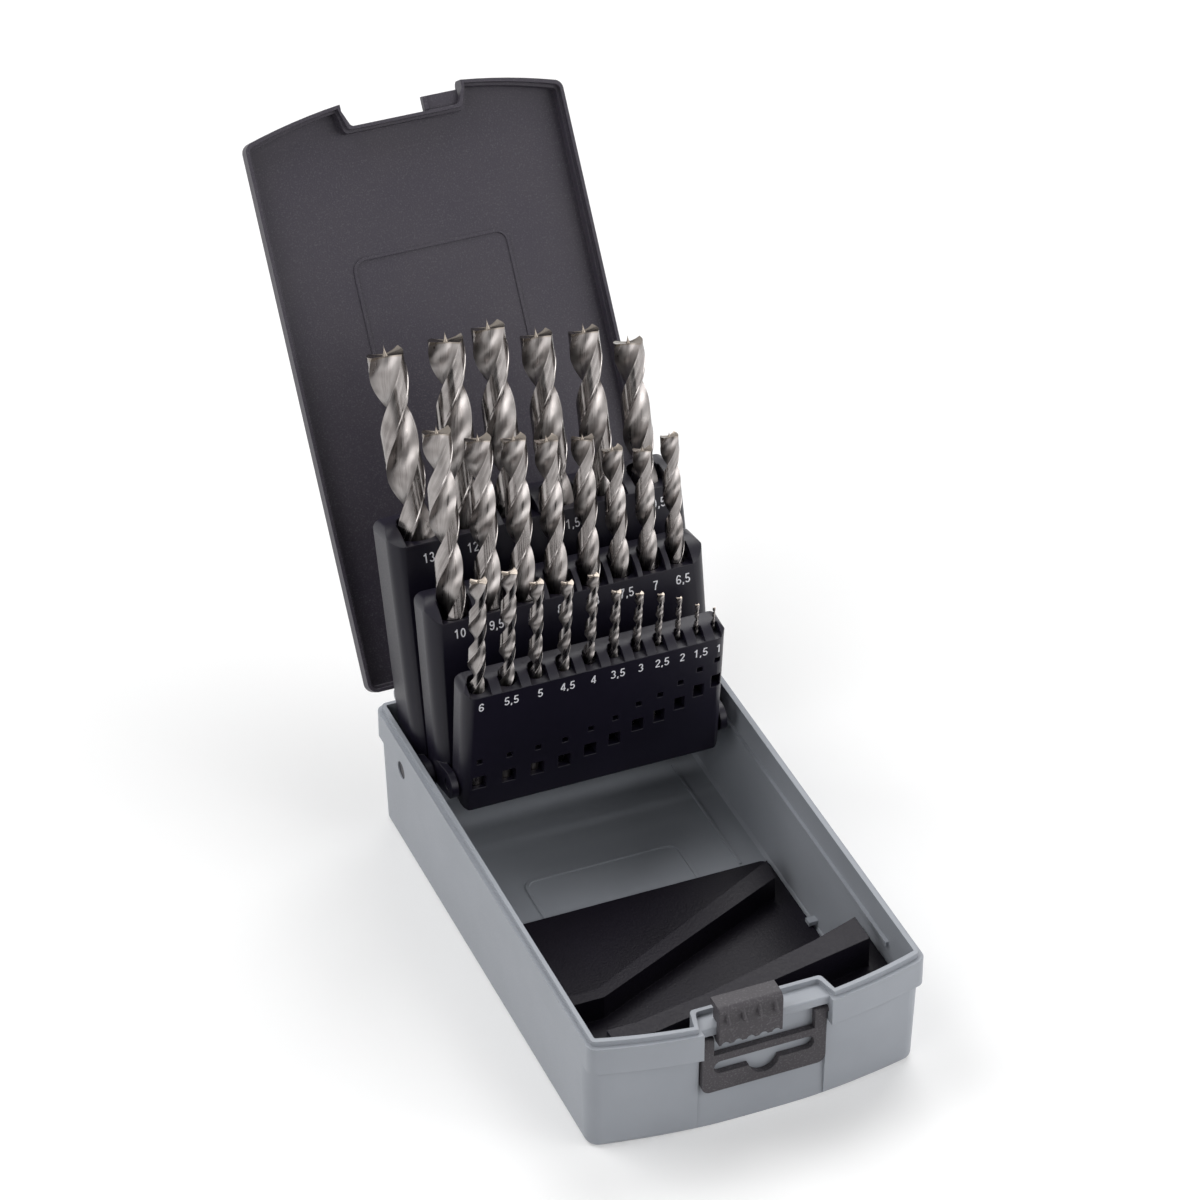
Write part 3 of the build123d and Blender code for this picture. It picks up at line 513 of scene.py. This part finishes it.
@dataclass(frozen=True)
class BradPointDrill:
    """One two-flute brad-point drill, standing tip up in its pocket.

    Lengths are in mm where nothing else is said. The section repeats after half a
    turn, and a share runs from 0 to 1 over that half turn.
    """

    size: float
    length: float
    fluted: float
    turn: float = 0.0  # degrees that it is turned round its axis
    lip_angle: float = 208.0  # where the front lip's corner points, in degrees from +X
    lead: float = 5.44  # helix lead in diameters
    land: float = 0.38  # share of each half turn that the land takes
    margin: float = 0.05  # share that the land's raised edge takes
    margin_step: float = 0.003  # share over which the land steps up to it
    relief: float = 0.965  # land radius behind the margin
    spike: float = 0.31  # height of the centre spike over the lips, in diameters
    spike_root: float = 0.075  # radius of the spike's foot, in diameters
    spur: float = 0.1  # rise of the cutting corners over that foot, in diameters
    heel_rise: float = 0.25  # how much of that rise is left at the heel
    run_out: float = 0.8  # length over which the flutes run out, in diameters
    shank_end: float = 0.55  # shank's last row under the flutes, in diameters
    foot_share: float = 0.93  # radius inside the foot's chamfer
    foot_rise: float = 0.04  # height of that chamfer, in diameters
    land_columns: int = 12
    margin_columns: int = 4
    flute_columns: int = 30
    rows_a_turn: int = 48
    least_rows: int = 24
    face_rows: tuple[float, ...] = (0.2, 0.45, 0.7, 0.9, 1.0)  # way in to the spike
    spike_rows: tuple[float, ...] = (0.7, 0.45, 0.25, 0.1, 0.02, 0.0)  # of its foot
    end_share: float = 0.99  # the ground end lies inside this share of the section
    end_mark: float = 0.3  # what the UV's height gains there, so that it gets the painted reflection

    def section(self, share: np.ndarray) -> np.ndarray:
        """Radius of the cross-section over one half turn, as a share of the outer one.

        The land runs a little under full radius up to its margin. The flute is a
        parabola across the gap between two lands, whose walls point at the axis where
        they meet the lands. With b half the gap's angle and f the angle from its
        middle, its radius is cos b / (cos f + sqrt(cos^2 f - sin^2 f / tan^2 b)).

        Args:
            share: places round the half turn, 0 to 1.

        Returns:
            Radii as shares of the outer radius.
        """
        into = np.clip((share - self.land) / (1 - self.land), 0, 1)
        half_gap = np.pi * (1 - self.land) / 2
        off = half_gap * (2 * into - 1)
        root = np.cos(off) ** 2 - (np.sin(off) / np.tan(half_gap)) ** 2
        flute = np.cos(half_gap) / (np.cos(off) + np.sqrt(np.maximum(root, 0)))
        flute = flute * (1 + (self.relief - 1) * into)
        land = np.where(share > self.land - self.margin, 1.0, self.relief)
        return np.where(share < self.land, land, flute)

    def tip_height(self, radius: np.ndarray, share: np.ndarray) -> np.ndarray:
        """Height of the ground end at each distance from the axis, in mm.

        The centre spike rises as the square root of the way in from its foot. From
        that foot a hollow cone rises to the spurs, and behind each cutting edge its
        rise falls off towards the heel, as the clearance does.

        Args:
            radius: distances from the axis.
            share: places round the half turn, 0 to 1.

        Returns:
            Heights over the drill's foot.
        """
        root = self.spike_root * self.size
        low = self.length - self.spike * self.size
        way = np.maximum(radius - root, 0) / (self.size / 2 - root)
        from_heel = np.where(share < self.land, share / self.land,
                             (1 - share) / (1 - self.land))
        clearance = self.heel_rise + (1 - self.heel_rise) * from_heel
        inward = np.sqrt(np.minimum(radius / root, 1.0))
        needle = self.length - self.spike * self.size * inward
        cone = low + self.spur * self.size * way * clearance
        return np.where(radius < root, needle, cone)

    def columns(self) -> np.ndarray:
        """Places round the half turn, crowded where the section turns sharply.

        Land and margin have even columns. The flute's follow half a cosine wave, so
        they crowd at both of its walls.

        Returns:
            Shares from 0 up to just under 1.
        """
        land = np.linspace(0, self.land - self.margin - self.margin_step,
                           self.land_columns)
        margin = np.linspace(self.land - self.margin, self.land, self.margin_columns)
        swing = 0.5 - 0.5 * np.cos(np.linspace(0, np.pi, self.flute_columns))
        flute = self.land + (1 - self.land) * swing[1:-1]
        return np.concatenate((land, margin, flute))

    def profile(self, share: np.ndarray,
                outer: np.ndarray) -> tuple[np.ndarray, np.ndarray]:
        """Radius and height of each row of points, before the section turns.

        Rows run up the shank, then up the flutes, and then inwards over the ground
        end, from the section to the spike's round foot and up to its tip. The section
        grows out of the round shank by the smooth step 3 m^2 - 2 m^3, where m is the
        way along the run-out.

        Args:
            share: places round the half turn, 0 to 1.
            outer: the section's radius at each place.

        Returns:
            Radii and heights, a row for each row of points.
        """
        rim = np.full_like(outer, self.size / 2)
        root = np.full_like(outer, self.spike_root * self.size)
        start = self.length - self.fluted
        shank_radius = np.array((0.0, self.foot_share, 1.0, 1.0))[:, None] * rim
        shank_height = np.array((0.0, 0.0, self.size * self.foot_rise,
                                 start - self.size * self.shank_end))[:, None]
        turns = self.fluted / (self.lead * self.size)
        rows = max(self.least_rows, int(turns * self.rows_a_turn))
        up = np.linspace(0, 1, rows + 1)[:, None]
        way = np.minimum(1.0, up * self.fluted / (self.size * self.run_out))
        mix = way * way * (3 - 2 * way)
        flute_radius = rim * (1 - mix) + outer * mix
        flute_height = start + (self.tip_height(outer, share) - start) * up
        inward = np.array(self.face_rows)[:, None]
        end_radius = np.concatenate((outer * (1 - inward) + root * inward,
                                     root * np.array(self.spike_rows)[:, None]))
        radius = np.concatenate((shank_radius, flute_radius, end_radius))
        height = np.concatenate((
            np.broadcast_to(shank_height, shank_radius.shape), flute_height,
            self.tip_height(end_radius, share)))
        return radius, height

    def points(self) -> tuple[np.ndarray, list, np.ndarray]:
        """Points, faces and UVs of the whole drill, standing on the origin.

        Each row of the profile is turned about the axis by a full turn for each lead
        of height.

        Returns:
            Rows of x, y, z in mm, the quads' point numbers, and for each point its
            half turns round the drill and its height over the lips in mm.
        """
        half = self.columns()
        share = np.concatenate((half, half))
        angle = np.concatenate((half, half + 1)) * np.pi
        outer = self.section(share) * self.size / 2
        radius, height = self.profile(share, outer)
        lip = self.length - self.spike * self.size
        phase = math.radians(self.lip_angle + self.turn) - np.pi * self.land
        twist = (angle[None, :] + phase
                 + 2 * np.pi * (height - lip) / (self.lead * self.size))
        grid = np.stack((radius * np.cos(twist), radius * np.sin(twist), height),
                        axis=-1)
        faces = grid_faces(len(radius), len(angle), closed=True)
        # the ground end's points are marked in the UV, where the material paints a dark
        # reflection
        fluted = height >= self.length - self.fluted
        on_end = fluted & (radius < outer * self.end_share)
        over_lip = height - lip + np.where(on_end, self.end_mark, 0.0)
        uv = np.stack((np.broadcast_to(angle / np.pi, radius.shape), over_lip), axis=-1)
        return grid.reshape(-1, 3), faces.tolist(), uv.reshape(-1, 2)


def drill_name(size: float) -> str:
    """The node name of a drill of this size."""
    return "drill_" + f"{size:.1f}".replace(".", "_")


@dataclass(frozen=True)
class Stand:
    """How one loose drill happens to stand in its pocket."""

    lift: float = 0.0  # mm up its pocket
    lean: float = 0.0  # degrees to the right
    turn: float = 0.0  # degrees round its axis


STANDS: dict[float, Stand] = {
    13.0: Stand(0.0, -2.6, -6.0), 12.5: Stand(0.0, 0.6, -20.0),
    12.0: Stand(1.0, -0.8, 2.0), 11.5: Stand(3.3, -0.8, 0.0),
    11.0: Stand(0.9, 0.0, 1.0), 10.5: Stand(2.4, 0.0, -16.0),
    10.0: Stand(0.6, 0.0, -14.0), 9.5: Stand(2.5, 0.8, -4.0),
    9.0: Stand(-0.5, 0.7, 2.0), 8.5: Stand(4.2, 0.2, 8.0),
    8.0: Stand(1.6, 1.4, -18.0), 7.5: Stand(2.9, 0.7, 3.0),
    7.0: Stand(0.0, 1.0, -10.0), 6.5: Stand(10.6, 0.8, 4.0),
    6.0: Stand(-0.4, 0.0, -9.0), 5.0: Stand(-0.5, -0.6, 7.0),
    4.5: Stand(1.6, 0.8, -6.0), 4.0: Stand(4.8, 0.8, 5.0),
    3.5: Stand(-2.1, 0.6, -12.0), 3.0: Stand(-0.4, 0.9, 10.0),
    2.5: Stand(-0.9, 1.0, 0.0),
}

# ---- printed sizes ------------------------------------------------------------

ARC_POINTS = 15  # points along each arc of a digit


def bow(centre: tuple[float, float], reach: tuple[float, float], start: float,
        end: float) -> np.ndarray:
    """Points along an ellipse's arc.

    Args:
        centre: the ellipse's middle.
        reach: its half width and half height.
        start: first angle in degrees.
        end: last angle in degrees.

    Returns:
        Rows of x, y.
    """
    turn = np.radians(np.linspace(start, end, ARC_POINTS))
    return np.stack((centre[0] + reach[0] * np.cos(turn),
                     centre[1] + reach[1] * np.sin(turn)), axis=1)


def line(*corners: tuple[float, float]) -> np.ndarray:
    """Straight strokes from corner to corner, as rows of x, y."""
    return np.array(corners, float)


SIX = (bow((0.30, 0.29), (0.20, 0.23), 0, 360),
       np.concatenate((bow((0.32, 0.52), (0.22, 0.42), 35, 180), line((0.10, 0.30)))))
GLYPHS: dict[str, tuple[np.ndarray, ...]] = {  # strokes on a height of 1
    "0": (bow((0.30, 0.50), (0.20, 0.44), 0, 360),),
    "1": (line((0.34, 1.0), (0.34, 0.0)), line((0.12, 0.74), (0.29, 0.88))),
    "2": (np.concatenate((bow((0.29, 0.70), (0.20, 0.24), 165, -38),
                          line((0.12, 0.10)))),
          line((0.08, 0.055), (0.52, 0.055))),
    "3": (bow((0.28, 0.72), (0.18, 0.22), 160, -80),
          bow((0.28, 0.27), (0.21, 0.22), 80, -160)),
    "4": (line((0.40, 1.0), (0.40, 0.0)), line((0.36, 0.93), (0.07, 0.33)),
          line((0.04, 0.27), (0.54, 0.27))),
    "5": (line((0.50, 0.94), (0.17, 0.94), (0.11, 0.52)),
          bow((0.29, 0.30), (0.21, 0.25), 140, -155)),
    "6": SIX,
    "7": (line((0.06, 0.94), (0.54, 0.94)),
          line((0.49, 0.88), (0.31, 0.5), (0.23, 0.0))),
    "8": (bow((0.30, 0.73), (0.17, 0.21), 0, 360),
          bow((0.30, 0.27), (0.21, 0.22), 0, 360)),
    "9": tuple(np.array((0.60, 1.0)) - stroke for stroke in SIX),
    ",": (line((0.13, 0.12), (0.13, 0.0), (0.08, -0.14)),),
}


def stroke_mesh(path: np.ndarray, width: float,
                height: float) -> tuple[np.ndarray, np.ndarray]:
    """Carry a flat bar along a path on a plane.

    The bar's four corners stand half the width to each side along the path's normal,
    stretched at a corner by one over the cosine of half its turn, at the foot and at
    the height.

    Args:
        path: rows of x, y; a path that ends where it starts is closed.
        width: width of the stroke.
        height: how far it stands off the plane.

    Returns:
        Rows of x, y, z, and the quads' point numbers.
    """
    closed = np.allclose(path[0], path[-1])
    step = np.diff(path, axis=0)
    step = step / np.linalg.norm(step, axis=1, keepdims=True)
    side = np.stack((-step[:, 1], step[:, 0]), axis=1)
    before = np.concatenate((side[-1:] if closed else side[:1], side))
    after = np.concatenate((side, side[:1] if closed else side[-1:]))
    mean = before + after
    mean = mean / np.linalg.norm(mean, axis=1, keepdims=True)
    reach = mean * (width / 2 / np.sum(mean * after, axis=1, keepdims=True))
    left, right = path + reach, path - reach
    foot, top = np.zeros((len(path), 1)), np.full((len(path), 1), height)
    rows = np.stack((np.hstack((right, foot)), np.hstack((left, foot)),
                     np.hstack((left, top)), np.hstack((right, top))), axis=1)
    faces = grid_faces(len(path), 4, closed=True)
    if not closed:
        last = 4 * (len(path) - 1)
        ends = np.array([[3, 2, 1, 0], [last, last + 1, last + 2, last + 3]])
        faces = np.concatenate((faces, ends))
    return rows.reshape(-1, 3), faces


# ---- sub-assemblies -----------------------------------------------------------


@dataclass
class DrillSet:
    """All the drills and the size printed in front of each one."""

    tiers: tuple[Tier, ...] = (REAR, MIDDLE, FRONT)
    drill_sharp: float = 26.0  # degrees past which a drill's edge stays sharp
    tip_depth: float = 12.0  # how far under the holder's top a loose drill tips over
    digit_height: float = 3.45
    digit_advance: float = 0.66  # share of the height from digit to digit
    comma_advance: float = 0.3
    stroke: float = 0.125  # share of the height
    ink: float = 0.04  # how far the print stands off the face
    ink_sharp: float = 30.0  # degrees past which the print's edge stays sharp

    def build(self, wardrobe: Wardrobe) -> None:
        """Make every drill and number, dress them and let them ride.

        Args:
            wardrobe: what dresses them.
        """
        for tier in self.tiers:
            for size, x in zip(tier.sizes, tier.centres()):
                self.stand_drill(tier, size, x, wardrobe)
                self.print_size(tier, size, x, wardrobe)

    def stand_drill(self, tier: Tier, size: float, x: float,
                    wardrobe: Wardrobe) -> None:
        """Make one drill and stand it in its pocket as loosely as a real one stands.

        The drill is tipped to the right about a point a little under the holder's
        top, by a turn about u.

        Args:
            tier: the holder that it stands in.
            size: its diameter in mm.
            x: the middle of its pocket in mm.
            wardrobe: what dresses it.
        """
        length, fluted = next((l, f) for top, l, f in JOBBER_STEPS if size <= top)
        stand = STANDS.get(size, Stand())
        drill = BradPointDrill(size, length, fluted, stand.turn)
        local, faces, uv = drill.points()
        floor = tier.top - tier.pocket_depth(length) + stand.lift
        tilt = math.radians(stand.lean)
        over = local[:, 2] + floor - tier.top + self.tip_depth
        placed = np.stack((x + local[:, 0] * math.cos(tilt) + over * math.sin(tilt),
                           tier.axis_u - local[:, 1],
                           tier.top - self.tip_depth + over * math.cos(tilt)
                           - local[:, 0] * math.sin(tilt)), axis=1)
        piece = make_mesh(f"brad_point_{drill_name(size)}", tier.place(placed), faces,
                          self.drill_sharp, uv)
        wardrobe.dress(piece, Finish.STEEL)
        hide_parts(drill_name(size))
        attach(piece, tier.body)
        LOG.info("%s: %d faces", piece.name, len(faces))

    def words_mesh(self, words: str) -> tuple[np.ndarray, list]:
        """Strokes of a number, centred, with its height along y and its ink along z.

        Args:
            words: digits and a decimal comma.

        Returns:
            Rows of x, y, z in mm, and the quads' point numbers.
        """
        points, faces, pen, count = [], [], 0.0, 0
        for letter in words:
            for path in GLYPHS[letter]:
                rows, quads = stroke_mesh(
                    (path + np.array((pen, 0.0))) * self.digit_height,
                    self.stroke * self.digit_height, self.ink)
                points.append(rows)
                faces.append(quads + count)
                count += len(rows)
            pen += self.comma_advance if letter == "," else self.digit_advance
        rows = np.concatenate(points)
        rows[:, 0] -= (rows[:, 0].min() + rows[:, 0].max()) / 2
        rows[:, 1] -= self.digit_height / 2
        return rows, np.concatenate(faces).tolist()

    def print_size(self, tier: Tier, size: float, x: float,
                   wardrobe: Wardrobe) -> None:
        """Print one size on the sloping face under its pocket, with a decimal comma.

        Args:
            tier: the holder that it is printed on.
            size: the diameter that it names, in mm.
            x: the middle of the pocket in mm.
            wardrobe: what dresses it.
        """
        rows, faces = self.words_mesh(f"{size:g}".replace(".", ","))
        middle_u = tier.face_u(tier.label_w)
        slope = tier.face_u(tier.label_w + 1) - middle_u
        u = middle_u + slope * rows[:, 1] + rows[:, 2]
        placed = np.stack((rows[:, 0] + x, u, rows[:, 1] + tier.label_w), axis=1)
        piece = make_mesh(f"size_print_{drill_name(size)}", tier.place(placed), faces,
                          self.ink_sharp)
        wardrobe.dress(piece, Finish.INK)
        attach(piece, tier.body)
        LOG.info("%s: %d faces", piece.name, len(faces))


@dataclass
class CaseShell:
    """The moulded solids that keep their shape and get their finish."""

    finishes: dict[str, Finish] = field(default_factory=lambda: {
        "base_tray": Finish.TRAY,
        "drill_rest": Finish.REST,
        "lid_shell": Finish.LID,
        "latch_slider": Finish.FITTING,
        "hanger_bail": Finish.FITTING,
        "holder_rear": Finish.HOLDER,
        "holder_middle": Finish.HOLDER,
        "holder_front": Finish.HOLDER,
        "hinge_pin_left": Finish.WIRE,
        "hinge_pin_right": Finish.WIRE,
    })

    def build(self, wardrobe: Wardrobe) -> None:
        """Dress every solid that stays.

        Args:
            wardrobe: what dresses them.
        """
        for name, finish in self.finishes.items():
            wardrobe.dress(frame["nodes"][name], finish)
            LOG.info("%s: %s", name, finish.name)


# ---- studio -------------------------------------------------------------------


@dataclass(frozen=True)
class SoftBox:
    """One square soft lamp that looks at the case."""

    name: str
    azimuth: float  # degrees to the right of the front
    elevation: float  # degrees over the floor
    power: float  # watts
    distance: float = 1.6  # metres
    size: float = 1.0  # side in metres
    target: tuple[float, float, float] = (0.0, 0.05, 0.08)

    def build(self) -> None:
        """Hang the lamp."""
        data = bpy.data.lights.new(self.name, "AREA")
        data.shape = "SQUARE"
        data.size = self.size
        data.energy = self.power
        lamp = bpy.data.objects.new(self.name, data)
        bpy.context.scene.collection.objects.link(lamp)
        away = direction(self.azimuth, self.elevation)
        lamp.location = Vector(self.target) + away * self.distance
        lamp.rotation_euler = away.to_track_quat("Z", "Y").to_euler()


@dataclass
class Studio:
    """Pale floor, black card, soft lights and the camera. Lengths are in metres."""

    target: tuple[float, float, float] = (0.04182, 0.13659, 0.0354)
    azimuth: float = -22.579
    elevation: float = 36.160
    distance: float = 1.7378
    lens: float = 144.87  # mm
    sensor: float = 36.0  # mm
    sight: float = 50.0  # how far the camera sees
    floor_size: float = 3.0
    floor_shade: float = 0.76
    floor_lift: float = 0.25  # what plain sight adds to the paper's own white
    sky: float = 0.01  # strength that lights the case
    flag_azimuth: float = -16.0
    flag_width: float = 2.0
    flag_low: float = -1.1
    flag_high: float = 0.9
    flag_distance: float = 2.4
    flat_sharp: float = 30.0  # degrees; flat sheets have no edge inside
    lamps: tuple[SoftBox, ...] = (
        SoftBox("back_right_box", 140.0, 55.0, 13.9),
        SoftBox("back_left_box", -120.0, 55.0, 14.2),
        SoftBox("left_box", -60.0, 22.0, 6.6),
        SoftBox("right_box", 60.0, 22.0, 8.6),
        SoftBox("front_right_box", 30.0, 22.0, 6.8),
    )

    def camera(self) -> None:
        """Point the camera at the case from the front left and above."""
        data = bpy.data.cameras.new("camera")
        data.lens = self.lens
        data.sensor_width = self.sensor
        data.clip_end = self.sight
        camera = bpy.data.objects.new("camera", data)
        bpy.context.scene.collection.objects.link(camera)
        away = direction(self.azimuth, self.elevation)
        camera.location = Vector(self.target) + away * self.distance
        camera.rotation_euler = away.to_track_quat("Z", "Y").to_euler()
        bpy.context.scene.camera = camera

    def seen_plain(self, tree: bpy.types.NodeTree) -> bpy.types.NodeSocket:
        """One where a camera, glossy or transmission ray arrives, else nought.

        Args:
            tree: the node tree that asks.

        Returns:
            The socket that carries it.
        """
        path = add_node(tree, "LightPath")
        seen = path.outputs["Is Camera Ray"]
        for ray in ("Is Glossy Ray", "Is Transmission Ray"):
            both = add_node(tree, "Math", {0: seen, 1: path.outputs[ray]},
                            operation="MAXIMUM")
            seen = both.outputs["Value"]
        return seen

    def floor(self) -> None:
        """Lay matt paper that looks plain white and still keeps the case's shadow."""
        half = self.floor_size / 2
        corners = np.array([(-half, -half, 0), (half, -half, 0), (half, half, 0),
                            (-half, half, 0)], float)
        floor = make_mesh("floor", corners, [(0, 1, 2, 3)], self.flat_sharp)
        material, tree = empty_material("white_sweep")
        shade = self.floor_shade
        paper = add_node(tree, "BsdfPrincipled", {
            "Base Color": (shade, shade, shade, 1.0), "Roughness": 0.7})
        lift = add_node(tree, "Math", {0: self.seen_plain(tree), 1: self.floor_lift},
                        operation="MULTIPLY")
        glow = add_node(tree, "Emission", {"Color": WHITE,
                                           "Strength": lift.outputs["Value"]})
        both = add_node(tree, "AddShader", {0: paper.outputs["BSDF"],
                                            1: glow.outputs["Emission"]})
        add_node(tree, "OutputMaterial", {"Surface": both.outputs["Shader"]})
        floor.data.materials.append(material)

    def flag(self) -> None:
        """Stand a black felt card behind the camera, a dark thing for steel to show."""
        turn = math.radians(self.flag_azimuth)
        away = np.array((math.sin(turn), -math.cos(turn), 0.0)) * self.flag_distance
        side = np.array((math.cos(turn), math.sin(turn), 0.0))
        wide, low, high = self.flag_width / 2, self.flag_low, self.flag_high
        up = np.array((0.0, 0.0, 1.0))
        corners = np.array([away + side * w + up * z for w, z in (
            (-wide, low), (wide, low), (wide, high), (-wide, high))])
        card = make_mesh("black_card", corners, [(0, 1, 2, 3)], self.flat_sharp)
        material, tree = empty_material("black_felt")
        felt = add_node(tree, "BsdfPrincipled", {
            "Base Color": (0.02, 0.02, 0.025, 1.0), "Roughness": 0.9})
        add_node(tree, "OutputMaterial", {"Surface": felt.outputs["BSDF"]})
        card.data.materials.append(material)
        card.visible_camera = False
        card.visible_shadow = False

    def world(self) -> None:
        """Fill with a faint soft sky, seen as white by the camera and by the steel."""
        world = bpy.data.worlds.new("studio")
        bpy.context.scene.world = world
        world.use_nodes = True
        tree = world.node_tree
        tree.nodes.clear()
        shown = add_node(tree, "Background", {"Color": WHITE, "Strength": 1.0})
        light = add_node(tree, "Background", {"Color": (0.95, 0.97, 1.0, 1.0),
                                              "Strength": self.sky})
        both = add_node(tree, "MixShader", {
            0: self.seen_plain(tree), 1: light.outputs["Background"],
            2: shown.outputs["Background"]})
        add_node(tree, "OutputWorld", {"Surface": both.outputs["Shader"]})

    def build(self) -> None:
        """Set up the whole studio."""
        self.camera()
        self.floor()
        self.flag()
        self.world()
        for lamp in self.lamps:
            lamp.build()
            LOG.info("%s: %.1f W", lamp.name, lamp.power)
        bpy.context.scene.view_settings.view_transform = "Standard"


def main() -> None:
    """Build the case's looks, piece by piece."""
    logging.basicConfig(level=logging.INFO)
    wardrobe = Wardrobe()
    Studio().build()
    CaseShell().build(wardrobe)
    DrillSet().build(wardrobe)


if __name__ == "__main__":
    main()
